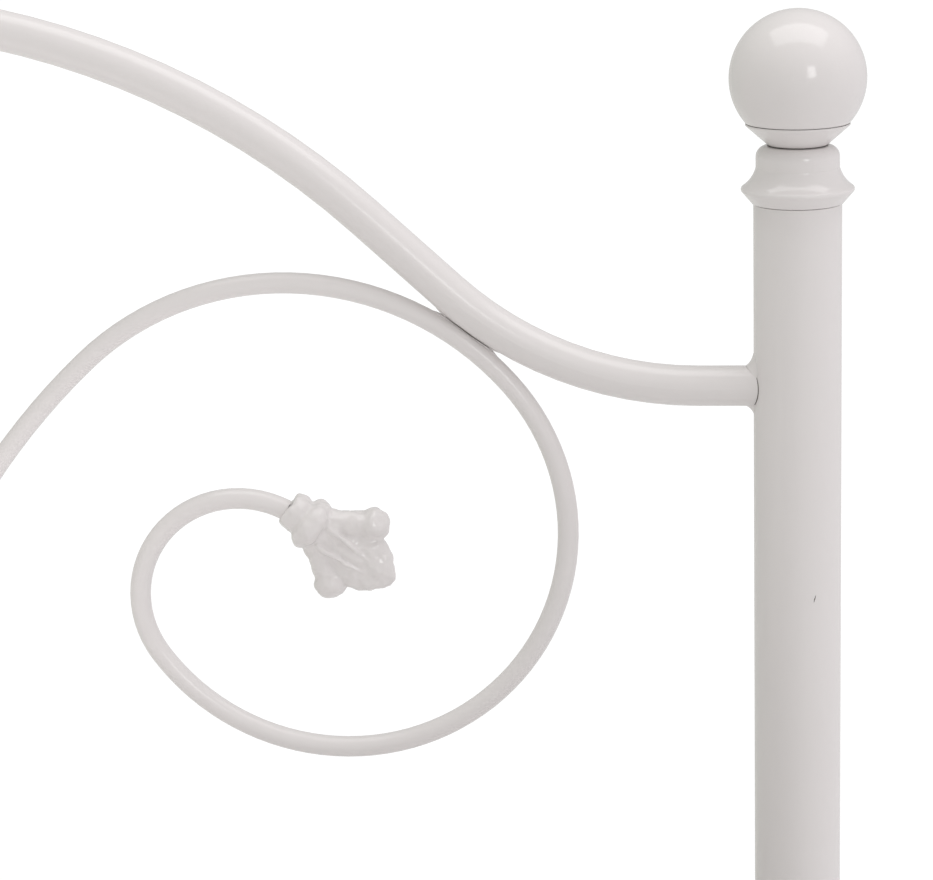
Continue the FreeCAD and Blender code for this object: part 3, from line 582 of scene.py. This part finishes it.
def make_welds(material, dark):
    fills = (("arm_welds", arm_welds, ["arm_weld_beads"]), ("spindle_welds", spindle_welds, []),
             ("bracket_welds", bracket_welds, []))
    for name, fill, replaces in fills:
        shell = Shell()
        fill(shell)
        new_piece(name, shell, material, replaces)
    contact, shade_lines = Shell(), Shell()
    for scroll in ARM_SCROLLS + BACK_SCROLLS + CENTRE_SCROLLS:
        contact_welds(contact, shade_lines, scroll, scroll.panel + "_top_rail")
    new_piece("contact_welds", contact, material)
    # near-black threads along the scroll contacts: painted shade
    new_piece("contact_shade_lines", shade_lines, dark)


# ---------------------------------------------------------------- painted shade in crevices, and a scratch

SHADE_LINE_R = 0.22                      # half width of a thread of painted shade in an open joint, in millimetres
SEAT_NECK_R = 15.1
COPE_ENDS = (50, 174)              # degrees round the rail between which the thread of painted shade along its cope runs
SCRATCH_AT = (0.6525, -0.0087)     # height, and distance from the post's axis along Y, in metres
SCRATCH_SIZE = (4.2, 0.8)          # length and width, in millimetres
SCRATCH_LEAN = 1.1


def line_along(shell, points, radius, closed=False):
    """A thin thread through points; each point comes with its outward direction."""
    rows = []
    count = len(points)
    for k, (at, out) in enumerate(points):
        after = points[(k + 1) % count][0] if closed or k < count - 1 else at
        before = points[k - 1][0] if closed or k else at
        ahead = (after - before).normalized()
        across = ahead.cross(out).normalized()
        r = radius * MM
        if not closed:
            r *= max(sin(pi * (k + 0.5) / count), 0.15) ** 0.4
        rows.append([at + (across * cos(a) + out * sin(a)) * r for a in ring_angles(8)])
    shell.grid(rows + rows[:1] if closed else rows, caps=not closed)


def level_ring(middle, radius, z):
    spots = [Vector((cos(a), sin(a), 0)) for a in ring_angles(96)]
    return [(Vector((middle.x, middle.y, z)) + d * radius, d) for d in spots]


def cope_line(middle, z, rail_r, side, face):
    """Where the thread of painted shade runs on the open side of the joint between a post and a rail."""
    first, last = COPE_ENDS
    points = []
    for k in range(40):
        a = radians(first + (last - first) * k / 39)
        out = Vector((face * sin(a), 0, cos(a)))
        away = sqrt(POST_R**2 - (rail_r * out.x) ** 2)
        at = Vector((middle.x + rail_r * out.x, middle.y + side * away, z + rail_r * out.z))
        points.append((at + Vector((0, side * 0.1 * MM, 0)), out))
    return points


def make_crevice_shade(material):
    """Threads of painted shade in the joints: under the seats and beside the rails."""
    shell = Shell()
    for end in ("left", "right"):
        for place, side in (("front", 1), ("rear", -1)):
            corner = end + "_" + place
            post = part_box(corner + "_post")
            middle = (post[0] + post[1]) / 2
            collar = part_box("post_collar_" + corner)
            line_along(shell, level_ring(middle, SEAT_NECK_R * MM, collar[1].z), SHADE_LINE_R * 0.8, True)
            low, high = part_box(end + "_arm_mid_rail")
            rail_r = (high.z - low.z) / 2
            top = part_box(end + "_arm_top_rail")[0].z + rail_r
            for z in (top, (low.z + high.z) / 2):
                for face in (-1, 1):
                    line_along(shell, cope_line(middle, z, rail_r, side, face), SHADE_LINE_R)
    new_piece("joint_shade_lines", shell, material)


def make_scratch(material):
    """A small knock in the right front post's coat, a sliver that stands 0.05 mm proud."""
    rows = []
    long, wide = SCRATCH_SIZE
    for k in range(15):
        t = k / 14
        wander = SCRATCH_LEAN * MM * (t - 0.5) + 0.15 * MM * noise.noise(Vector((t * 5, 0, 3)))
        y = POST_AT.y + SCRATCH_AT[1] + wander
        z = SCRATCH_AT[0] + long * MM * (0.5 - t)
        uneven = 1 + 0.5 * noise.noise(Vector((t * 9, 1, 7)))
        half = wide * MM / 2 * max(sin(pi * t), 0.05) * uneven
        row = []
        for across, lift in ((-1, -0.1), (0, 0.05), (1, -0.1), (0, -0.3)):
            far = y + across * half - POST_AT.y
            row.append(Vector((POST_AT.x - sqrt((POST_R + lift * MM) ** 2 - far**2), POST_AT.y + far, z)))
        rows.append(row)
    shell = Shell()
    shell.grid(rows)
    new_piece("coat_scratch", shell, material)


# ---------------------------------------------------------------- materials

WHITE = (0.81, 0.777, 0.772)
DECK_WHITE = (0.79, 0.759, 0.753)
ZINC = ((0.50, 0.52, 0.54), (0.70, 0.70, 0.69))
# tones of the near-black paint: painted shade in the joint threads, and the scratch's own colour
SHADE_AND_SCRATCH_TONES = ((0.03, 0.028, 0.026), (0.20, 0.18, 0.165))
STEM_EDGE = 4.6                    # millimetres; inside this radius a levelling foot is a threaded stem
THREAD_SCALE = 251.0               # a turn every 1.25 mm


def node(tree, kind, inputs=None, **settings):
    made = tree.nodes.new(kind)
    for key, value in settings.items():
        setattr(made, key, value)
    for key, value in (inputs or {}).items():
        if isinstance(value, bpy.types.NodeSocket):
            tree.links.new(value, made.inputs[key])
        else:
            made.inputs[key].default_value = value
    return made


def new_material(name):
    material = bpy.data.materials.new(name)
    material.use_nodes = True
    tree = material.node_tree
    tree.nodes.clear()
    return material, tree


def two_tones(tree, factor, first, second):
    """Mixes two colours by a node's first output."""
    tone = node(tree, "ShaderNodeMix", data_type="RGBA")
    tree.links.new(factor.outputs[0], tone.inputs["Factor"])
    tone.inputs[6].default_value = (*first, 1)
    tone.inputs[7].default_value = (*second, 1)
    return tone.outputs[2]


def shade(tree, inputs):
    shader = node(tree, "ShaderNodeBsdfPrincipled", inputs)
    node(tree, "ShaderNodeOutputMaterial", {"Surface": shader.outputs[0]})


def powder_coat(name, colour, rough=0.22, peel=0.012, edge=0.0):
    """Baked white powder coat: a fine orange peel, a faint drift of tone and of gloss."""
    material, tree = new_material(name)
    place = node(tree, "ShaderNodeTexCoord").outputs["Object"]
    drift = node(tree, "ShaderNodeTexNoise", {"Vector": place, "Scale": 9.0, "Detail": 3.0})
    tone = two_tones(tree, drift, tuple(c * 0.965 for c in colour), colour)
    gloss = node(tree, "ShaderNodeTexNoise", {"Vector": place, "Scale": 60.0, "Detail": 2.0})
    roughness = node(tree, "ShaderNodeMapRange", {"Value": gloss.outputs[0], "To Min": rough - 0.03,
                                                  "To Max": rough + 0.03})
    fine = node(tree, "ShaderNodeTexNoise", {"Vector": place, "Scale": 620.0, "Detail": 2.0})
    wide = node(tree, "ShaderNodeTexNoise", {"Vector": place, "Scale": 150.0, "Detail": 1.0})
    first = node(tree, "ShaderNodeBump", {"Height": fine.outputs[0], "Strength": peel, "Distance": 0.0002})
    if edge:
        soft = node(tree, "ShaderNodeBevel", {"Radius": edge * MM}, samples=4)
        tree.links.new(soft.outputs[0], first.inputs["Normal"])
    second = node(tree, "ShaderNodeBump", {"Height": wide.outputs[0], "Strength": peel,
                                           "Distance": 0.001, "Normal": first.outputs[0]})
    shade(tree, {"Base Color": tone, "Roughness": roughness.outputs[0], "Normal": second.outputs[0]})
    return material


def zinc_plate(name, thread_at=None):
    """Bright zinc on steel: metal with a soft bloom. thread_at: how far threaded stems are from x=0."""
    material, tree = new_material(name)
    place = node(tree, "ShaderNodeTexCoord").outputs["Object"]
    bloom = node(tree, "ShaderNodeTexNoise", {"Vector": place, "Scale": 140.0, "Detail": 5.0})
    tone = two_tones(tree, bloom, *ZINC)
    roughness = node(tree, "ShaderNodeMapRange", {"Value": bloom.outputs[0], "To Min": 0.22,
                                                  "To Max": 0.42})
    lines = node(tree, "ShaderNodeTexNoise", {"Vector": place, "Scale": 900.0, "Detail": 2.0})
    soft = node(tree, "ShaderNodeBevel", {"Radius": 0.4 * MM}, samples=4)
    bump = node(tree, "ShaderNodeBump", {"Height": lines.outputs[0], "Strength": 0.08, "Distance": 0.0003,
                                         "Normal": soft.outputs[0]})
    if thread_at:
        folded = node(tree, "ShaderNodeVectorMath", {0: place}, operation="ABSOLUTE")
        radial = node(tree, "ShaderNodeVectorMath", {0: folded.outputs[0], 1: (thread_at, 0, 0)},
                      operation="SUBTRACT")
        flat = node(tree, "ShaderNodeVectorMath", {0: radial.outputs[0], 1: (1, 1, 0)},
                    operation="MULTIPLY")
        away = node(tree, "ShaderNodeVectorMath", {0: flat.outputs[0]}, operation="LENGTH")
        on_stem = node(tree, "ShaderNodeMath", {0: away.outputs["Value"], 1: STEM_EDGE * MM},
                       operation="LESS_THAN")
        turns = node(tree, "ShaderNodeTexWave", {"Vector": place, "Scale": THREAD_SCALE},
                     bands_direction="Z")
        bump = node(tree, "ShaderNodeBump", {"Height": turns.outputs[1], "Strength": on_stem.outputs[0],
                                             "Distance": 0.0006, "Normal": bump.outputs[0]})
    shade(tree, {"Base Color": tone, "Metallic": 1.0, "Roughness": roughness.outputs[0],
                 "Normal": bump.outputs[0]})
    return material


def moulded_plastic(name, colour, rough):
    """Plastic with the fine even texture of a spark-eroded mould."""
    material, tree = new_material(name)
    place = node(tree, "ShaderNodeTexCoord").outputs["Object"]
    cloud = node(tree, "ShaderNodeTexNoise", {"Vector": place, "Scale": 35.0, "Detail": 3.0})
    tone = two_tones(tree, cloud, tuple(c * 0.93 for c in colour), colour)
    grain = node(tree, "ShaderNodeTexVoronoi", {"Vector": place, "Scale": 1300.0})
    bump = node(tree, "ShaderNodeBump", {"Height": grain.outputs["Distance"], "Strength": 0.25,
                                         "Distance": 0.0003})
    roughness = node(tree, "ShaderNodeMapRange", {"Value": cloud.outputs[0], "To Min": rough - 0.05,
                                                  "To Max": rough + 0.05})
    shade(tree, {"Base Color": tone, "Roughness": roughness.outputs[0], "Normal": bump.outputs[0]})
    return material


def shade_and_scratch_material():
    """Near-black and rough, with a random mottle: painted shade for the threads in open joints, and the own
    colour of the scratch in the coat.
    """
    material, tree = new_material("shade_and_scratch_material")
    place = node(tree, "ShaderNodeTexCoord").outputs["Object"]
    mottle = node(tree, "ShaderNodeTexNoise", {"Vector": place, "Scale": 420.0, "Detail": 3.0})
    shade(tree, {"Base Color": two_tones(tree, mottle, *SHADE_AND_SCRATCH_TONES), "Roughness": 0.8})
    return material


FINISHES = {
    "frame_paint": powder_coat("frame_coat", WHITE),
    "finial_paint": powder_coat("finial_coat", WHITE, rough=0.14, peel=0.01),
    "casting_paint": powder_coat("casting_coat", WHITE, rough=0.07, peel=0.008),
    "deck_paint": powder_coat("deck_coat", DECK_WHITE, rough=0.36, peel=0.1, edge=0.7),
    "zinc_steel": zinc_plate("zinc_plate"),
    "foot_plastic": moulded_plastic("foot_plastic", (0.55, 0.55, 0.54), 0.5),
    "moulded_plastic": moulded_plastic("cap_plastic", (0.74, 0.74, 0.73), 0.45),
}

COLLAR_COAT = powder_coat("collar_coat", WHITE, rough=0.1, peel=0.01)
RIGHT_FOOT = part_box("right_leveller")
LEVELLER_ZINC = zinc_plate("leveller_zinc", (RIGHT_FOOT[0].x + RIGHT_FOOT[1].x) / 2)


def finish_frame_nodes():
    """Gives each CAD node the finish of its record slot."""
    for part in frame["record"]["subparts"]:
        for slot in NODES[part["node"]].material_slots:
            slot.material = FINISHES[part["material_slot"]]
        if part["node"].startswith("post_collar"):
            NODES[part["node"]].material_slots[0].material = COLLAR_COAT
        if part["node"].endswith("_leveller"):
            NODES[part["node"]].material_slots[0].material = LEVELLER_ZINC


# ---------------------------------------------------------------- camera, floor and light

SURROUND = 1.05                    # brightness of the white surround as the camera sees it
SKY_TINTS = ((1.0, 0.985, 0.995), (0.88, 0.90, 0.845))     # colour of the light from -Y and from +Y
SKY_BELOW, SKY_ABOVE = 0.85, 0.53  # strength of the light from below and from above
LAMP_COLOUR = (1.0, 0.985, 0.99)
FLOOR_HALF = (2.13, 1.82)
FLOOR_FADE = (0.38, 1.0)           # shares of the floor's reach: where its fade starts and ends
FLOOR_TONES = (0.80, 0.84)


def make_camera():
    data = bpy.data.cameras.new("camera")
    data.lens = LENS
    data.sensor_width = 36.0
    data.clip_start = 0.05
    camera = add_object("camera", data)
    camera.location = BALL_MIDDLE + Vector((-CAMERA_BACK, CAMERA_LEFT, CAMERA_UP))
    turn = Matrix.Rotation(radians(CAMERA_YAW - 90), 4, "Z")
    turn = turn @ Matrix.Rotation(radians(90 - CAMERA_PITCH), 4, "X")
    turn = turn @ Matrix.Rotation(radians(CAMERA_ROLL), 4, "Z")
    camera.rotation_euler = turn.to_euler()
    bpy.context.scene.camera = camera


def make_world():
    world = bpy.data.worlds.new("studio")
    world.use_nodes = True
    tree = world.node_tree
    tree.nodes.clear()
    seen = node(tree, "ShaderNodeBackground", {"Color": (1, 1, 1, 1), "Strength": SURROUND})
    place = node(tree, "ShaderNodeTexCoord").outputs["Generated"]
    way = node(tree, "ShaderNodeSeparateXYZ", {0: place})
    leftward = node(tree, "ShaderNodeMapRange", {"Value": way.outputs["Y"], "From Min": -0.8,
                                                 "From Max": 0.8})
    tint = two_tones(tree, leftward, *SKY_TINTS)
    strength = node(tree, "ShaderNodeMapRange", {"Value": way.outputs["Z"], "From Min": -0.4,
                                                 "From Max": 0.3, "To Min": SKY_BELOW, "To Max": SKY_ABOVE})
    light = node(tree, "ShaderNodeBackground", {"Color": tint, "Strength": strength.outputs[0]})
    path = node(tree, "ShaderNodeLightPath")
    mix = node(tree, "ShaderNodeMixShader", {0: path.outputs["Is Camera Ray"], 1: light.outputs[0],
                                              2: seen.outputs[0]})
    node(tree, "ShaderNodeOutputWorld", {"Surface": mix.outputs[0]})
    bpy.context.scene.world = world
    bpy.context.scene.view_settings.view_transform = "Standard"


def area_light(name, at, target, size, power, reflects=True):
    """A soft lamp that the camera doesn't see, and that shows in the gloss if it reflects."""
    data = bpy.data.lights.new(name, "AREA")
    data.shape = "RECTANGLE"
    data.size, data.size_y = size
    data.energy = power
    data.color = LAMP_COLOUR
    light = add_object(name, data)
    light.visible_camera = False
    light.visible_glossy = reflects
    light.location = at
    light.rotation_euler = (target - at).to_track_quat("-Z", "Y").to_euler()


def make_lights():
    """A long lamp overhead, a window to the left, a soft lamp to the right and a low white card."""
    ball, down = BALL_MIDDLE, Vector((0, 0, -0.4))
    area_light("overhead", Vector((0.9, -0.6, 3.2)), Vector((0.9, -0.6, 0.5)), (1.7, 3.2), 33)
    area_light("window", ball + Vector((-2.4, -1.05, 0.72)), ball, (0.62, 0.86), 8)
    area_light("right_side", ball + Vector((-0.9, -2.6, 0.6)), ball + down, (1.8, 2.4), 10.3, False)
    area_light("card_fill", Vector((0.60, 0.10, 0.50)), Vector((0.83, 0.25, 1.03)), (0.36, 0.36), 0.9,
               False)


def make_floor():
    """A pale floor that fades into the white surround."""
    material, tree = new_material("floor")
    place = node(tree, "ShaderNodeTexCoord")
    reach = node(tree, "ShaderNodeVectorMath", {0: place.outputs["Object"], 1: (0.47, 0.55, 0)},
                 operation="MULTIPLY")
    away = node(tree, "ShaderNodeVectorMath", {0: reach.outputs[0]}, operation="LENGTH")
    fade = node(tree, "ShaderNodeMapRange", {"Value": away.outputs["Value"], "From Min": FLOOR_FADE[0],
                                             "From Max": FLOOR_FADE[1]}, interpolation_type="SMOOTHSTEP")
    grain = node(tree, "ShaderNodeTexNoise", {"Vector": place.outputs["Object"], "Scale": 6.0,
                                              "Detail": 6.0})
    tone = node(tree, "ShaderNodeMapRange", {"Value": grain.outputs[0], "To Min": FLOOR_TONES[0],
                                             "To Max": FLOOR_TONES[1]})
    paint = node(tree, "ShaderNodeBsdfDiffuse", {"Color": tone.outputs[0]})
    clear = node(tree, "ShaderNodeBsdfTransparent")
    mix = node(tree, "ShaderNodeMixShader", {0: fade.outputs[0], 1: paint.outputs[0], 2: clear.outputs[0]})
    node(tree, "ShaderNodeOutputMaterial", {"Surface": mix.outputs[0]})
    mesh = bpy.data.meshes.new("floor")
    shape = bmesh.new()
    bmesh.ops.create_circle(shape, cap_ends=True, segments=96, radius=1.0)
    bmesh.ops.scale(shape, vec=(*FLOOR_HALF, 1), verts=shape.verts)
    shape.to_mesh(mesh)
    shape.free()
    floor = add_object("floor", mesh)
    mesh.materials.append(material)


finish_frame_nodes()
make_leaves(FINISHES["casting_paint"])
# one near-black paint: painted shade for the joint threads, and the scratch's own colour
SHADE_AND_SCRATCH_PAINT = shade_and_scratch_material()
make_welds(FINISHES["frame_paint"], SHADE_AND_SCRATCH_PAINT)
# painted shade in the joints under the seats and beside the rails
make_crevice_shade(SHADE_AND_SCRATCH_PAINT)
make_scratch(SHADE_AND_SCRATCH_PAINT)
make_world()
make_floor()
make_lights()
make_camera()
